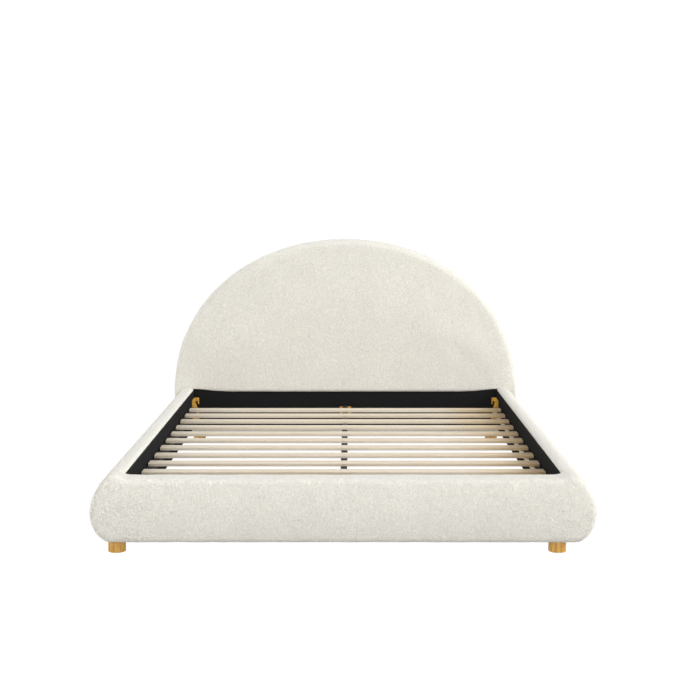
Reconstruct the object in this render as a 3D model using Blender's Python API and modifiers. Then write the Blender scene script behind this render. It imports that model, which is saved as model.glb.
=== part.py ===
"""Upholstered bed for a queen mattress, with an arched headboard and a low padded surround.

Metres, +Z up. The origin is on the floor, under the middle of the bed's box. +Y points to the
headboard, and +X to the right of someone who stands at the foot and looks at the headboard.
"""

import math

import bmesh
import bpy

# The well that the mattress lies in.
WELL_WIDTH = 1.540
WELL_LENGTH = 2.040
FOOT_THICKNESS = 0.092
HEAD_THICKNESS = 0.104

# Heights above the floor.
FABRIC_BOTTOM = 0.040
WOOD_BOTTOM = 0.0470
LINING_BOTTOM = 0.0795
WIDEST_HEIGHT = 0.146
SLAT_BOTTOM = 0.197
LINING_TOP = 0.2705
INNER_EDGE = 0.270
CROWN_HEIGHT = 0.283
HEADBOARD_TOP = 1.033

# A side rail's section, measured outwards from the well's side.
RAIL_DEPTH = 0.116
CROWN_OUT = 0.029
LOWER_CENTRE_OUT = 0.043
ROLL_CENTRE = 0.268
UPPER_FULLNESS = 1.72
LOWER_FULLNESS = 1.89
BOTTOM_EDGE_RADIUS = 0.003
UPPER_HEM = 0.225
LOWER_HEM = 0.100
RAIL_BOTTOM = LINING_BOTTOM
ROLL_EDGE_OUT = 0.024

# Materials' thicknesses, and the clearance between pieces that touch.
GAP = 0.0003
COVER = 0.0025
LINING = 0.0013
RAIL_BOARD = 0.018
HEAD_FOAM = 0.045
HEAD_PANEL = 0.012
HEAD_RAIL = 0.045
FOOT_FOAM = 0.035
FOOT_FRONT_BOARD = 0.018
BACK_CLOTH = 0.0017
BOARD_INSET = 0.0068

# The headboard's arch is half a slightly squared ellipse on straight sides.
ARCH_HALF_WIDTH = 0.871
ARCH_BASE = 0.273
ARCH_FULLNESS = 2.05
FRAME_WIDTH = 0.070
CROSS_RAIL_Z = 0.520
CROSS_RAIL_HEIGHT = 0.060

# Slats, counted from the foot.
SLAT_COUNT = 11
SLAT_PITCH = 0.162
FIRST_SLAT_Y = -0.840
SLAT_LENGTH = 1.531
SLAT_WIDTH = 0.060
SLAT_THICKNESS = 0.012
SLAT_CORNER = 0.004
LEDGER_WIDTH = 0.025
LEDGER_HEIGHT = 0.029
STRAP_X = 0.7345
STRAP_WIDTH = 0.018
STRAP_THICKNESS = 0.0015
STRAP_OVERHANG = 0.035

# The centre rail, its brackets and its two support legs.
CENTRE_RAIL_WIDTH = 0.025
CENTRE_RAIL_HEIGHT = 0.040
TENON_DROP = 0.0160
TENON_LENGTH = 0.042
CENTRE_BRACKET_WIDTH = 0.058
CENTRE_BRACKET_HEIGHT = 0.048
CENTRE_BRACKET_DEPTH = 0.038
CENTRE_BRACKET_STEEL = 0.002
SUPPORT_Y = 0.480
SUPPORT_SIDE = 0.025
SUPPORT_BOTTOM = 0.020
SUPPORT_BORE_RADIUS = 0.0046
SUPPORT_BORE_DEPTH = 0.052
FOOT_STEM_RADIUS = 0.004
FOOT_STEM_TOP = 0.052
FOOT_DISC_RADIUS = 0.019
FOOT_DISC_HEIGHT = 0.006

# Corner brackets: a flange on the rail and a hooked flange on the end wall.
BRACKET_STEEL = 0.003
BRACKET_TOP = 0.230
BRACKET_HEIGHT = 0.113
SIDE_FLANGE_LENGTH = 0.100
HOOK_FLANGE_WIDTH = 0.0245
HOOK_BOLT_IN = 0.0135
HOOK_BOLT_DOWN = 0.023
HOOK_BOLT_RADIUS = 0.0035
HOOK_HEAD_RADIUS = 0.0060
HOOK_HEAD_HEIGHT = 0.004
HOOK_BOLT_DEPTH = 0.020

# Wood legs, each on a plate and stud inside the upholstery. (X, Y) of the legs' centres.
LEG_RADIUS = 0.031
LEG_EDGE = 0.002
LEG_TOP = FABRIC_BOTTOM - GAP
STUD_RADIUS = 0.004
STUD_BOTTOM = 0.016
LEG_BORE_RADIUS = 0.0045
LEG_BORE_BOTTOM = 0.014
PLATE_RADIUS = 0.020
PLATE_BOTTOM = 0.0446
PLATE_TOP = 0.0466
LEGS = {
    "front_left": (-0.799, -1.055),
    "front_right": (0.756, -1.055),
    "rear_left": (-0.750, 1.066),
    "rear_right": (0.750, 1.066),
}

# Planes along the bed, worked out from the dimensions above.
LENGTH = FOOT_THICKNESS + WELL_LENGTH + HEAD_THICKNESS
FOOT_FRONT = -LENGTH / 2
FOOT_WALL = FOOT_FRONT + FOOT_THICKNESS
HEAD_WALL = FOOT_WALL + WELL_LENGTH
HEAD_BACK = LENGTH / 2
WELL_SIDE = WELL_WIDTH / 2
SLAT_TOP = SLAT_BOTTOM + SLAT_THICKNESS
COVER_IN = COVER + GAP

ARC_STEPS = 8
ARCH_STEPS = 56
ROUND_STEPS = 24
SMALL_STEPS = 16

SIDES = {"left": -1, "right": 1}
ENDS = {"head": 1, "foot": -1}


# ---------------------------------------------------------------- scene and materials


def clear_scene():
    for obj in list(bpy.data.objects):
        bpy.data.objects.remove(obj, do_unlink=True)


def new_collection(name):
    collection = bpy.data.collections.new(name)
    bpy.context.scene.collection.children.link(collection)
    return collection


def new_material(name, colour, roughness, metallic=0.0):
    material = bpy.data.materials.new(name)
    material.use_nodes = True
    shader = material.node_tree.nodes["Principled BSDF"]
    shader.inputs["Base Color"].default_value = (*colour, 1.0)
    shader.inputs["Roughness"].default_value = roughness
    shader.inputs["Metallic"].default_value = metallic
    return material


clear_scene()
BED = new_collection("upholstered_headboard_bed")
CUTTERS = new_collection("cutters")

BOUCLE = new_material("boucle", (0.76, 0.73, 0.65), 0.95)
FOAM = new_material("foam", (0.85, 0.80, 0.62), 0.9)
BLACK_CLOTH = new_material("black_cloth", (0.015, 0.015, 0.016), 0.9)
PLYWOOD = new_material("plywood", (0.62, 0.47, 0.30), 0.7)
PINE = new_material("pine", (0.66, 0.48, 0.28), 0.65)
SLAT_WOOD = new_material("slat_wood", (0.70, 0.60, 0.46), 0.55)
LEG_WOOD = new_material("leg_wood", (0.52, 0.29, 0.09), 0.4)
BLACK_WOOD = new_material("black_wood", (0.012, 0.012, 0.012), 0.6)
GOLD_ZINC = new_material("gold_zinc", (0.60, 0.38, 0.08), 0.35, 1.0)
DARK_STEEL = new_material("dark_steel", (0.08, 0.08, 0.08), 0.4, 1.0)
WEBBING = new_material("webbing", (0.68, 0.58, 0.42), 0.85)
BLACK_PLASTIC = new_material("black_plastic", (0.02, 0.02, 0.02), 0.5)


# ---------------------------------------------------------------- making shapes


def add_object(name, mesh, material):
    obj = bpy.data.objects.new(name, mesh)
    BED.objects.link(obj)
    mesh.materials.append(material)
    return obj


def as_cutter(obj):
    """Takes an object out of the bed, to be used by Boolean modifiers only."""
    BED.objects.unlink(obj)
    CUTTERS.objects.link(obj)
    obj.hide_render = True
    obj.display_type = "WIRE"
    return obj


def combine(target, other, operation):
    modifier = target.modifiers.new(other.name, "BOOLEAN")
    modifier.operation = operation
    modifier.object = as_cutter(other) if other.name in BED.objects else other


def box(name, low, high, material):
    """A box between two opposite corners."""
    shape = bmesh.new()
    bmesh.ops.create_cube(shape, size=1.0)
    sides = [b - a for a, b in zip(low, high)]
    middle = [(a + b) / 2 for a, b in zip(low, high)]
    bmesh.ops.scale(shape, vec=sides, verts=shape.verts)
    mesh = bpy.data.meshes.new(name)
    shape.to_mesh(mesh)
    shape.free()
    obj = add_object(name, mesh, material)
    obj.location = middle
    return obj


def prism(name, outline, low, high, axis, material):
    """A flat outline extruded along an axis from low to high.

    The outline's points are (x, z) for axis Y, (y, z) for axis X and (x, y) for axis Z.
    """
    curve = bpy.data.curves.new(name, "CURVE")
    curve.dimensions = "2D"
    curve.fill_mode = "BOTH"
    curve.extrude = (high - low) / 2
    spline = curve.splines.new("POLY")
    spline.points.add(len(outline) - 1)
    for point, (u, v) in zip(spline.points, outline):
        point.co = (u, v, 0.0, 1.0)
    spline.use_cyclic_u = True
    guide = bpy.data.objects.new(name + "_outline", curve)
    BED.objects.link(guide)
    turn = {"X": (math.pi / 2, 0.0, math.pi / 2), "Y": (math.pi / 2, 0.0, 0.0), "Z": (0.0, 0.0, 0.0)}[axis]
    place = {"X": (1, 0, 0), "Y": (0, 1, 0), "Z": (0, 0, 1)}[axis]
    guide.rotation_euler = turn
    guide.location = [side * (low + high) / 2 for side in place]
    bpy.context.view_layer.update()
    return mesh_from_curve(name, guide, material)


def mesh_from_curve(name, guide, material):
    """Replaces a curve object by a mesh object in the same place, with its caps welded on."""
    graph = bpy.context.evaluated_depsgraph_get()
    mesh = bpy.data.meshes.new_from_object(guide.evaluated_get(graph))
    shape = bmesh.new()
    shape.from_mesh(mesh)
    bmesh.ops.remove_doubles(shape, verts=shape.verts, dist=0.00001)
    bmesh.ops.recalc_face_normals(shape, faces=shape.faces)
    shape.to_mesh(mesh)
    shape.free()
    mesh.materials.clear()
    obj = add_object(name, mesh, material)
    obj.matrix_world = guide.matrix_world.copy()
    bpy.data.objects.remove(guide, do_unlink=True)
    return obj


def turned(name, profile, location, material, steps=ROUND_STEPS, toward=None):
    """A turned piece. The profile's (radius, height) points run from its top down to its bottom."""
    mesh = bpy.data.meshes.new(name)
    points = [(radius, 0.0, height) for radius, height in profile]
    edges = [(i, i + 1) for i in range(len(points) - 1)]
    mesh.from_pydata(points, edges, [])
    obj = add_object(name, mesh, material)
    obj.location = location
    screw = obj.modifiers.new("turn", "SCREW")
    screw.axis = "Z"
    screw.angle = 2 * math.pi
    screw.steps = steps
    screw.render_steps = steps
    screw.use_merge_vertices = True
    screw.merge_threshold = 0.00005
    screw.use_smooth_shade = True
    if toward is not None:
        obj.rotation_euler = toward
    return obj


def hole(name, centre, radius, low, high, axis, target):
    """Drills a round hole along an axis through a target."""
    drill = turned(name, [(0.0, high), (radius, high), (radius, low), (0.0, low)],
                   centre, target.data.materials[0], SMALL_STEPS)
    if axis == "Y":
        drill.rotation_euler = (-math.pi / 2, 0.0, 0.0)
    combine(target, drill, "DIFFERENCE")


def arc(centre, radii, start, end, steps=ARC_STEPS, fullness=2.0):
    """Points of an arc between two angles in degrees, both ends included.

    A fullness of 2 is an ellipse, less is flatter between its ends, and more is squarer.
    """
    points = []
    for i in range(steps + 1):
        angle = math.radians(start + (end - start) * i / steps)
        across, up = math.cos(angle), math.sin(angle)
        u = math.copysign(abs(across) ** (2.0 / fullness), across)
        v = math.copysign(abs(up) ** (2.0 / fullness), up)
        points.append((centre[0] + radii[0] * u, centre[1] + radii[1] * v))
    return points


def mirrored(outline):
    return [(-u, v) for u, v in reversed(outline)]


# ---------------------------------------------------------------- outlines


def bolster_outside(inset):
    """The bolster's section from the rail's underside, round its outside, up to its crown.

    The roll hangs lower than the rail's board, so the section first drops to the roll's lowest line.
    """
    drop_radii = (LOWER_CENTRE_OUT - ROLL_EDGE_OUT - inset, RAIL_BOTTOM - FABRIC_BOTTOM)
    lower_radii = (RAIL_DEPTH - LOWER_CENTRE_OUT - inset, WIDEST_HEIGHT - FABRIC_BOTTOM - inset)
    upper_radii = (RAIL_DEPTH - CROWN_OUT - inset, CROWN_HEIGHT - WIDEST_HEIGHT - inset)
    lower = arc((LOWER_CENTRE_OUT, WIDEST_HEIGHT), lower_radii, -90, 0, fullness=LOWER_FULLNESS)
    upper = arc((CROWN_OUT, WIDEST_HEIGHT), upper_radii, 0, 90, fullness=UPPER_FULLNESS)
    drop = arc((LOWER_CENTRE_OUT, RAIL_BOTTOM + inset), drop_radii, 180, 270)
    return drop + lower[1:] + upper[1:]


def bolster_roll(inset):
    """From the crown down to the inner face."""
    radii = (CROWN_OUT - LINING - GAP - inset, CROWN_HEIGHT - ROLL_CENTRE - inset)
    return arc((CROWN_OUT, ROLL_CENTRE), radii, 90, 180)[1:]


def rail_cover_path(inset):
    """A side rail's cover, from its lower hem on the inner face right round to its upper hem."""
    inner = LINING + GAP
    corner = (inner + BOTTOM_EDGE_RADIUS, RAIL_BOTTOM + BOTTOM_EDGE_RADIUS)
    radius = BOTTOM_EDGE_RADIUS - inset
    path = [(inner + inset, LOWER_HEM)]
    path += arc(corner, (radius, radius), 180, 270, 3)
    path += bolster_outside(inset)
    path += bolster_roll(inset)
    path.append((inner + inset, UPPER_HEM))
    return path


def rail_foam_outline(board_outer, board_top):
    """Foam that fills the bolster outside the board and folds over the board's top edge."""
    outline = bolster_outside(COVER_IN) + bolster_roll(COVER_IN)
    inner = outline[-1][0]
    outline.append((inner, board_top + GAP))
    outline.append((board_outer + GAP, board_top + GAP))
    outline.append((board_outer + GAP, RAIL_BOTTOM + COVER_IN))
    return outline


def foot_outline(inset):
    """The foot panel seen from the front: a pill whose ends have the side rails' section."""
    half = [(WELL_SIDE + out, height) for out, height in bolster_outside(inset)[ARC_STEPS:]]
    shoulder = 0.052
    rise = CROWN_HEIGHT - INNER_EDGE
    for i in range(1, ARC_STEPS + 1):
        part = i / ARC_STEPS
        height = INNER_EDGE + rise * (0.5 + 0.5 * math.cos(math.pi * part)) - inset
        half.append((WELL_SIDE + CROWN_OUT - shoulder * part, height))
    return half + mirrored(half)


def arch_outline(inset, base):
    """The headboard seen from the front, cut off level at its base."""
    half_width = ARCH_HALF_WIDTH - inset
    top = HEADBOARD_TOP - ARCH_BASE - inset
    outline = arc((0.0, ARCH_BASE), (half_width, top), 0, 180, ARCH_STEPS, ARCH_FULLNESS)
    if base < ARCH_BASE:
        outline = [(half_width, base)] + outline + [(-half_width, base)]
    return outline


def across(side, inner, outer):
    """The low and high X of something that lies between two distances from the middle."""
    return sorted((side * inner, side * outer))


def placed(outline, side):
    """An outline measured outwards from the well's side, put at the left or the right side."""
    if side > 0:
        return [(WELL_SIDE + out, height) for out, height in outline]
    return mirrored([(WELL_SIDE + out, height) for out, height in outline])


# ---------------------------------------------------------------- headboard


def make_headboard():
    face = HEAD_WALL
    foam_front = face + COVER_IN
    panel_front = foam_front + HEAD_FOAM + GAP
    frame_front = panel_front + HEAD_PANEL + GAP
    back_inside = HEAD_BACK - BACK_CLOTH - GAP

    prism("headboard_foam", arch_outline(COVER_IN, ARCH_BASE), foam_front, foam_front + HEAD_FOAM, "Y", FOAM)
    prism("headboard_panel", arch_outline(COVER_IN, WOOD_BOTTOM), panel_front, panel_front + HEAD_PANEL,
          "Y", PLYWOOD)
    make_headboard_frame(frame_front, back_inside)
    make_headboard_cover(face, back_inside)
    prism("headboard_back_cloth", arch_outline(0.004, FABRIC_BOTTOM + 0.004), HEAD_BACK - BACK_CLOTH,
          HEAD_BACK, "Y", BLACK_CLOTH)

    head_rail = box("head_rail", (-ARCH_HALF_WIDTH + BOARD_INSET, foam_front, WOOD_BOTTOM),
                    (ARCH_HALF_WIDTH - BOARD_INSET, foam_front + HEAD_RAIL, ARCH_BASE - GAP), PINE)
    head_lining = box("head_lining", (-WELL_SIDE + GAP, face + COVER - LINING, LINING_BOTTOM),
                      (WELL_SIDE - GAP, face + COVER, LINING_TOP), BLACK_CLOTH)
    return head_rail, head_lining


def make_headboard_frame(front, back):
    """An arched frame behind the panel, open inside, and a rail across it."""
    frame = prism("headboard_frame", arch_outline(COVER_IN, WOOD_BOTTOM), front, back, "Y", PINE)
    opening = prism("frame_opening", arch_outline(FRAME_WIDTH, FABRIC_BOTTOM - 0.05), front - 0.01,
                    back + 0.01, "Y", PINE)
    combine(frame, opening, "DIFFERENCE")
    reach = (CROSS_RAIL_Z + CROSS_RAIL_HEIGHT - ARCH_BASE) / (HEADBOARD_TOP - ARCH_BASE - FRAME_WIDTH)
    narrowing = (1.0 - reach**ARCH_FULLNESS) ** (1.0 / ARCH_FULLNESS)
    half_length = (ARCH_HALF_WIDTH - FRAME_WIDTH) * narrowing - 0.002
    box("headboard_cross_rail", (-half_length, front, CROSS_RAIL_Z),
        (half_length, back, CROSS_RAIL_Z + CROSS_RAIL_HEIGHT), PINE)


def make_headboard_cover(face, back):
    """A skin over the front and round the edge, with a window where the black lining shows."""
    cover = prism("headboard_cover", arch_outline(0.0, FABRIC_BOTTOM), face, back, "Y", BOUCLE)
    inside = prism("cover_inside", arch_outline(COVER, FABRIC_BOTTOM + COVER), face + COVER, back + 0.01,
                   "Y", BOUCLE)
    combine(cover, inside, "DIFFERENCE")
    window = box("cover_window", (-WELL_SIDE, face - 0.01, LINING_BOTTOM - 0.012),
                 (WELL_SIDE, face + COVER + 0.004, ARCH_BASE - GAP), BOUCLE)
    combine(cover, window, "DIFFERENCE")
    for name in ("rear_left", "rear_right"):
        x, y = LEGS[name]
        hole(name + "_headboard_hole", (x, y, FABRIC_BOTTOM), STUD_RADIUS + 0.001, -0.01, 0.01, "Z", cover)


# ---------------------------------------------------------------- foot panel


def make_foot_panel():
    foam_front = FOOT_FRONT + COVER_IN
    front_board = foam_front + FOOT_FOAM + GAP
    back_board = front_board + FOOT_FRONT_BOARD + GAP
    lining_back = FOOT_WALL - LINING

    cover = prism("foot_rail_cover", foot_outline(0.0), FOOT_FRONT, FOOT_WALL - GAP, "Y", BOUCLE)
    inside = prism("foot_cover_inside", foot_outline(COVER), FOOT_FRONT + COVER, FOOT_WALL + 0.01, "Y", BOUCLE)
    combine(cover, inside, "DIFFERENCE")
    for name in ("front_left", "front_right"):
        x, y = LEGS[name]
        hole(name + "_foot_hole", (x, y, FABRIC_BOTTOM), STUD_RADIUS + 0.001, -0.01, 0.01, "Z", cover)

    prism("foot_rail_foam", foot_outline(COVER_IN), foam_front, foam_front + FOOT_FOAM, "Y", FOAM)
    prism("foot_rail_front_board", foot_outline(BOARD_INSET + GAP), front_board,
          front_board + FOOT_FRONT_BOARD, "Y", PLYWOOD)
    board = prism("foot_rail_back_board", foot_outline(BOARD_INSET + GAP), back_board, lining_back - GAP,
                  "Y", PINE)
    lining = box("foot_rail_lining", (-WELL_SIDE + GAP, lining_back, LINING_BOTTOM),
                 (WELL_SIDE - GAP, FOOT_WALL, LINING_TOP - 0.006), BLACK_CLOTH)
    return board, lining


# ---------------------------------------------------------------- side rails


def make_side_rail(name, side):
    low, high = FOOT_WALL + GAP, HEAD_WALL - GAP
    cover_path = rail_cover_path(0.0) + list(reversed(rail_cover_path(COVER)))
    board_inner = LINING + GAP + COVER_IN
    board_outer = board_inner + RAIL_BOARD
    board_top = ROLL_CENTRE - 0.004

    prism(f"side_rail_cover_{name}", placed(cover_path, side), low, high, "Y", BOUCLE)
    prism(f"side_rail_foam_{name}", placed(rail_foam_outline(board_outer, board_top), side), low, high,
          "Y", FOAM)
    x_low, x_high = across(side, WELL_SIDE + board_inner, WELL_SIDE + board_outer)
    box(f"side_rail_board_{name}", (x_low, low, RAIL_BOTTOM + COVER_IN), (x_high, high, board_top), PLYWOOD)
    x_low, x_high = across(side, WELL_SIDE, WELL_SIDE + LINING)
    box(f"side_rail_lining_{name}", (x_low, low, LINING_BOTTOM), (x_high, high, LINING_TOP), BLACK_CLOTH)

    # The ledger ends short of the corner brackets' side flanges.
    reach = SIDE_FLANGE_LENGTH + 0.008
    x_low, x_high = across(side, WELL_SIDE - GAP - LEDGER_WIDTH, WELL_SIDE - GAP)
    top = SLAT_BOTTOM - GAP
    box(f"slat_ledger_{name}", (x_low, FOOT_WALL + reach, top - LEDGER_HEIGHT),
        (x_high, HEAD_WALL - reach, top), BLACK_WOOD)


# ---------------------------------------------------------------- slats


def rounded_rectangle(half_x, half_y, radius):
    outline = []
    for centre_x, centre_y, start in ((1, 1, 0), (-1, 1, 90), (-1, -1, 180), (1, -1, 270)):
        centre = (centre_x * (half_x - radius), centre_y * (half_y - radius))
        outline += arc(centre, (radius, radius), start, start + 90, 4)
    return outline


def make_slats():
    outline = rounded_rectangle(SLAT_LENGTH / 2, SLAT_WIDTH / 2, SLAT_CORNER)
    for i in range(SLAT_COUNT):
        slat = prism(f"slat_{i + 1:02d}", outline, SLAT_BOTTOM, SLAT_TOP, "Z", SLAT_WOOD)
        slat.location.y = FIRST_SLAT_Y + i * SLAT_PITCH


def make_slat_strap():
    """Webbing stapled under the slats that keeps them at their pitch."""
    last = FIRST_SLAT_Y + (SLAT_COUNT - 1) * SLAT_PITCH
    top = SLAT_BOTTOM - GAP
    box("slat_strap", (STRAP_X - STRAP_WIDTH / 2, FIRST_SLAT_Y - STRAP_OVERHANG, top - STRAP_THICKNESS),
        (STRAP_X + STRAP_WIDTH / 2, last + STRAP_OVERHANG, top), WEBBING)


# ---------------------------------------------------------------- centre rail


def make_centre_rail():
    """A rail with a shallow tenon at each end, which fits in a bracket."""
    top = SLAT_BOTTOM - GAP
    bottom = top - CENTRE_RAIL_HEIGHT
    low = FOOT_WALL + CENTRE_BRACKET_STEEL + 2 * GAP
    high = HEAD_WALL + COVER - LINING - CENTRE_BRACKET_STEEL - 2 * GAP
    shoulder = top - TENON_DROP
    outline = [(low, bottom), (high, bottom), (high, shoulder), (high - TENON_LENGTH, shoulder),
               (high - TENON_LENGTH, top), (low + TENON_LENGTH, top), (low + TENON_LENGTH, shoulder),
               (low, shoulder)]
    prism("centre_rail", outline, -CENTRE_RAIL_WIDTH / 2, CENTRE_RAIL_WIDTH / 2, "X", BLACK_WOOD)


def make_centre_bracket(name, end, wall):
    """A steel socket for the rail's tenon on a wider plate that is screwed to the wall."""
    steel = CENTRE_BRACKET_STEEL
    rail_bottom = SLAT_BOTTOM - GAP - CENTRE_RAIL_HEIGHT
    tenon_top = SLAT_BOTTOM - GAP - TENON_DROP
    top = tenon_top + GAP + steel
    bottom = rail_bottom - GAP - steel
    half_hole = CENTRE_RAIL_WIDTH / 2 + GAP
    contact = wall - end * GAP

    y_low, y_high = sorted((contact, contact - end * steel))
    plate_top = top + steel / 2
    plate = box(f"centre_bracket_{name}", (-CENTRE_BRACKET_WIDTH / 2, y_low, plate_top - CENTRE_BRACKET_HEIGHT),
                (CENTRE_BRACKET_WIDTH / 2, y_high, plate_top), GOLD_ZINC)
    y_low, y_high = sorted((contact - end * steel / 2, contact - end * CENTRE_BRACKET_DEPTH))
    socket = box(f"{name}_socket", (-half_hole - steel, y_low, bottom), (half_hole + steel, y_high, top),
                 GOLD_ZINC)
    combine(plate, socket, "UNION")
    y_low, y_high = sorted((contact - end * steel * 0.8, contact - end * (CENTRE_BRACKET_DEPTH + 0.01)))
    mouth = box(f"{name}_mouth", (-half_hole, y_low, rail_bottom - GAP), (half_hole, y_high, tenon_top + GAP),
                GOLD_ZINC)
    combine(plate, mouth, "DIFFERENCE")


def make_centre_support(name, y):
    """A post under the centre rail, with a screw foot in its end that sets its height."""
    half = SUPPORT_SIDE / 2
    top = SLAT_BOTTOM - GAP - CENTRE_RAIL_HEIGHT - GAP
    post = box(f"centre_leg_{name}", (-half, y - half, SUPPORT_BOTTOM), (half, y + half, top), BLACK_WOOD)
    hole(f"{name}_bore", (0.0, y, SUPPORT_BOTTOM), SUPPORT_BORE_RADIUS, -0.01, SUPPORT_BORE_DEPTH, "Z", post)
    profile = [(0.0, FOOT_STEM_TOP), (FOOT_STEM_RADIUS, FOOT_STEM_TOP), (FOOT_STEM_RADIUS, FOOT_DISC_HEIGHT),
               (FOOT_DISC_RADIUS - 0.002, FOOT_DISC_HEIGHT), (FOOT_DISC_RADIUS, FOOT_DISC_HEIGHT - 0.002),
               (FOOT_DISC_RADIUS, 0.0), (0.0, 0.0)]
    turned(f"levelling_foot_{name}", profile, (0.0, y, 0.0), BLACK_PLASTIC)


# ---------------------------------------------------------------- corner brackets


def hook_slot_outline():
    """The slot in the flange on the end wall, measured inwards and down from its top outer corner.

    It comes in from the free edge and climbs towards the rail, so that the flange drops over a
    bolt and the bed's weight keeps it there.
    """
    width = HOOK_FLANGE_WIDTH
    radius = HOOK_BOLT_RADIUS + 0.0012
    roof = [(HOOK_BOLT_IN + radius * math.cos(angle), HOOK_BOLT_DOWN - radius * math.sin(angle))
            for angle in (math.radians(20 + 20 * i) for i in range(8))]
    hook_tip = [(width + 0.010, 0.030), (width - 0.001, 0.033), (width - 0.004, 0.034)]
    ramp = [(HOOK_BOLT_IN - radius + 0.0005, 0.028), (width - 0.009, 0.055), (width - 0.003, 0.080),
            (width + 0.010, 0.086)]
    return hook_tip + roof + ramp


def make_corner_bracket(end_name, end, wall, side_name, side):
    """An L of plated steel: one flange along the side rail, the other hooked over a bolt."""
    corner = WELL_SIDE - GAP
    contact = wall - end * GAP
    steel = BRACKET_STEEL
    section = [(0.0, 0.0), (0.0, SIDE_FLANGE_LENGTH), (steel, SIDE_FLANGE_LENGTH), (steel, steel),
               (HOOK_FLANGE_WIDTH, steel), (HOOK_FLANGE_WIDTH, 0.0)]
    outline = [(side * (corner - inward), contact - end * along) for inward, along in section]
    bracket = prism(f"corner_bracket_{end_name}_{side_name}", outline, BRACKET_TOP - BRACKET_HEIGHT,
                    BRACKET_TOP, "Z", GOLD_ZINC)
    slot = [(side * (corner - inward), BRACKET_TOP - down) for inward, down in hook_slot_outline()]
    cutter = prism(f"{end_name}_{side_name}_hook_slot", slot, wall - 0.02, wall + 0.02, "Y", GOLD_ZINC)
    combine(bracket, cutter, "DIFFERENCE")


def make_hook_bolt(end_name, end, wall, side_name, side, drilled):
    """A shoulder bolt in the end wall that the bracket's slot drops over."""
    x = side * (WELL_SIDE - GAP - HOOK_BOLT_IN)
    z = BRACKET_TOP - HOOK_BOLT_DOWN
    front = wall - end * (2 * GAP + BRACKET_STEEL)
    under_head = 0.0
    profile = [(0.0, HOOK_HEAD_HEIGHT), (HOOK_HEAD_RADIUS - 0.002, HOOK_HEAD_HEIGHT),
               (HOOK_HEAD_RADIUS, HOOK_HEAD_HEIGHT - 0.002), (HOOK_HEAD_RADIUS, under_head),
               (HOOK_BOLT_RADIUS, under_head), (HOOK_BOLT_RADIUS, -HOOK_BOLT_DEPTH), (0.0, -HOOK_BOLT_DEPTH)]
    facing = (math.pi / 2, 0.0, 0.0) if end > 0 else (-math.pi / 2, 0.0, 0.0)
    turned(f"hook_bolt_{end_name}_{side_name}", profile, (x, front, z), DARK_STEEL, SMALL_STEPS, facing)
    for target in drilled:
        hole(f"{target.name}_{side_name}_bolt_hole", (x, wall, z), HOOK_BOLT_RADIUS + 0.0003, -0.03, 0.03,
             "Y", target)


# ---------------------------------------------------------------- legs


def make_leg(name, x, y):
    """A short turned leg, and the plate and stud that it screws onto."""
    leg_profile = [(0.0, LEG_BORE_BOTTOM), (LEG_BORE_RADIUS, LEG_BORE_BOTTOM), (LEG_BORE_RADIUS, LEG_TOP),
                   (LEG_RADIUS, LEG_TOP), (LEG_RADIUS, LEG_EDGE), (LEG_RADIUS - LEG_EDGE, 0.0), (0.0, 0.0)]
    turned(f"leg_{name}", leg_profile, (x, y, 0.0), LEG_WOOD)
    plate_profile = [(0.0, PLATE_TOP), (PLATE_RADIUS, PLATE_TOP), (PLATE_RADIUS, PLATE_BOTTOM),
                     (STUD_RADIUS, PLATE_BOTTOM), (STUD_RADIUS, STUD_BOTTOM), (0.0, STUD_BOTTOM)]
    turned(f"leg_plate_{name}", plate_profile, (x, y, 0.0), DARK_STEEL, SMALL_STEPS)


# ---------------------------------------------------------------- assembly


def make_bed():
    walls = {"head": HEAD_WALL + COVER - LINING, "foot": FOOT_WALL}
    drilled = {"head": make_headboard(), "foot": make_foot_panel()}
    for name, side in SIDES.items():
        make_side_rail(name, side)
    make_slats()
    make_slat_strap()
    make_centre_rail()
    make_centre_support("front", -SUPPORT_Y)
    make_centre_support("rear", SUPPORT_Y)
    for end_name, end in ENDS.items():
        make_centre_bracket(end_name, end, walls[end_name])
        for side_name, side in SIDES.items():
            make_corner_bracket(end_name, end, walls[end_name], side_name, side)
            make_hook_bolt(end_name, end, walls[end_name], side_name, side, drilled[end_name])
    for name, (x, y) in LEGS.items():
        make_leg(name, x, y)


make_bed()
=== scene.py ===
"""Looks of the upholstered headboard bed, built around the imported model.

Metres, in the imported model's own frame: +Z up, +Y to the headboard, +X to the right of someone
who stands at the foot, and the floor at z = 0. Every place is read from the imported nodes.
"""

import math

import bmesh
import bpy
import numpy as np
from mathutils import Matrix, Vector, kdtree, noise


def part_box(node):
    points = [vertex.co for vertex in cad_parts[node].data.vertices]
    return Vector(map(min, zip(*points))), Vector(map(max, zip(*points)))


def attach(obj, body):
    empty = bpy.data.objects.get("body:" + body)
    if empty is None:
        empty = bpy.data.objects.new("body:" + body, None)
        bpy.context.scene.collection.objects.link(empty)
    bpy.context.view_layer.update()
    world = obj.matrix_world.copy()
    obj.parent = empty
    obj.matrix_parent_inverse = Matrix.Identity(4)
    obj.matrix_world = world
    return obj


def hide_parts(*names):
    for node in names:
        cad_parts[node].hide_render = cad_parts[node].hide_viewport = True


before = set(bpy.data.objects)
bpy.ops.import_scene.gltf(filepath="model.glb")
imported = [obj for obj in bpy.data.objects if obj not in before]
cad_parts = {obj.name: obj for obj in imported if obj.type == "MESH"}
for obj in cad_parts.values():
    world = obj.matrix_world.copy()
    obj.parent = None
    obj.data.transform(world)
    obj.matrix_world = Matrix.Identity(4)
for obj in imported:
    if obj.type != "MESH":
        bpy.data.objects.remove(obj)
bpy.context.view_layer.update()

# ---------------------------------------------------------------- sizes

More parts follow.
